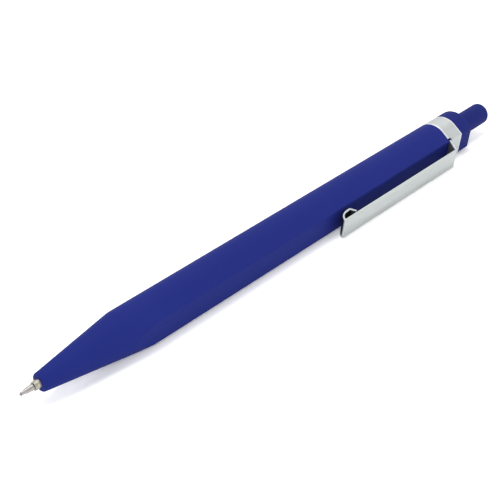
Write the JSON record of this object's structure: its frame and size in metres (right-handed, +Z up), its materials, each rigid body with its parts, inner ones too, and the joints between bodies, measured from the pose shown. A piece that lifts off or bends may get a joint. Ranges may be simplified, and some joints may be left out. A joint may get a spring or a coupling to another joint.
{
  "type": "ballpoint pen",
  "caption": "Retractable click ballpoint pen: round-backed barrel with flats on the clip side, conical nose, metal band with a folded spring clip, round push button and refill.",
  "frame": {"origin": "on the surface that the pen lies on, under the middle of its box", "axes": "+X along the pen from the writing point to the button, +Z up; the clip faces -Y"},
  "size_m": [0.144, 0.0128, 0.0092],
  "materials": {
    "blue_plastic": "satin moulded plastic",
    "satin_metal": "satin sheet metal",
    "white_plastic": "moulded plastic",
    "spring_steel": "drawn wire",
    "clear_tube": "translucent extruded tube",
    "ink": "wet",
    "follower_grease": "wet",
    "nickel_brass": "satin nickel-plated",
    "tip_metal": "turned metal",
    "ball_metal": "polished"
  },
  "bodies": {
    "body": {"barrel": "blue_plastic", "end_cap": "blue_plastic", "clip_band": "satin_metal", "guide_sleeve": "white_plastic", "return_spring": "spring_steel"},
    "clip": {"clip_arm": "satin_metal"},
    "button": {"push_button": "blue_plastic", "plunger_cam": "white_plastic"},
    "refill": {"refill_tube": "clear_tube", "ink_column": "ink", "ink_follower": "follower_grease", "tip_socket": "nickel_brass", "writing_tip": "tip_metal"},
    "rotor": {"rotor_cam": "white_plastic"},
    "ball": {"tip_ball": "ball_metal"}
  },
  "joints": [
    {"name": "button_press", "type": "slide", "parent": "body", "child": "button", "axis": [1, 0, 0], "range_m": [-0.0012, 0.0055], "stiffness_N_per_m": 300},
    {"name": "refill_slide", "type": "slide", "parent": "body", "child": "refill", "axis": [1, 0, 0], "range_m": [-0.0012, 0.0055], "deforming": ["return_spring"]},
    {"name": "rotor_turn", "type": "hinge", "parent": "refill", "child": "rotor", "pos_m": [0.036, 0.00176, 0.0046], "axis": [1, 0, 0], "range_deg": [0, 90]},
    {"name": "ball_roll", "type": "hinge", "parent": "refill", "child": "ball", "pos_m": [-0.07175, 0.00176, 0.0046], "axis": [0, 0, 1], "continuous": true},
    {"name": "clip_flex", "type": "hinge", "parent": "body", "child": "clip", "pos_m": [0.0513, -0.00305, 0.00314], "axis": [0, -0.2911, 0.9567], "range_deg": [-0.8, 4], "stiffness_Nm_per_rad": 3}
  ],
  "couplings": [
    {"joint": "refill_slide", "follows": "button_press", "ratio": 1}
  ]
}
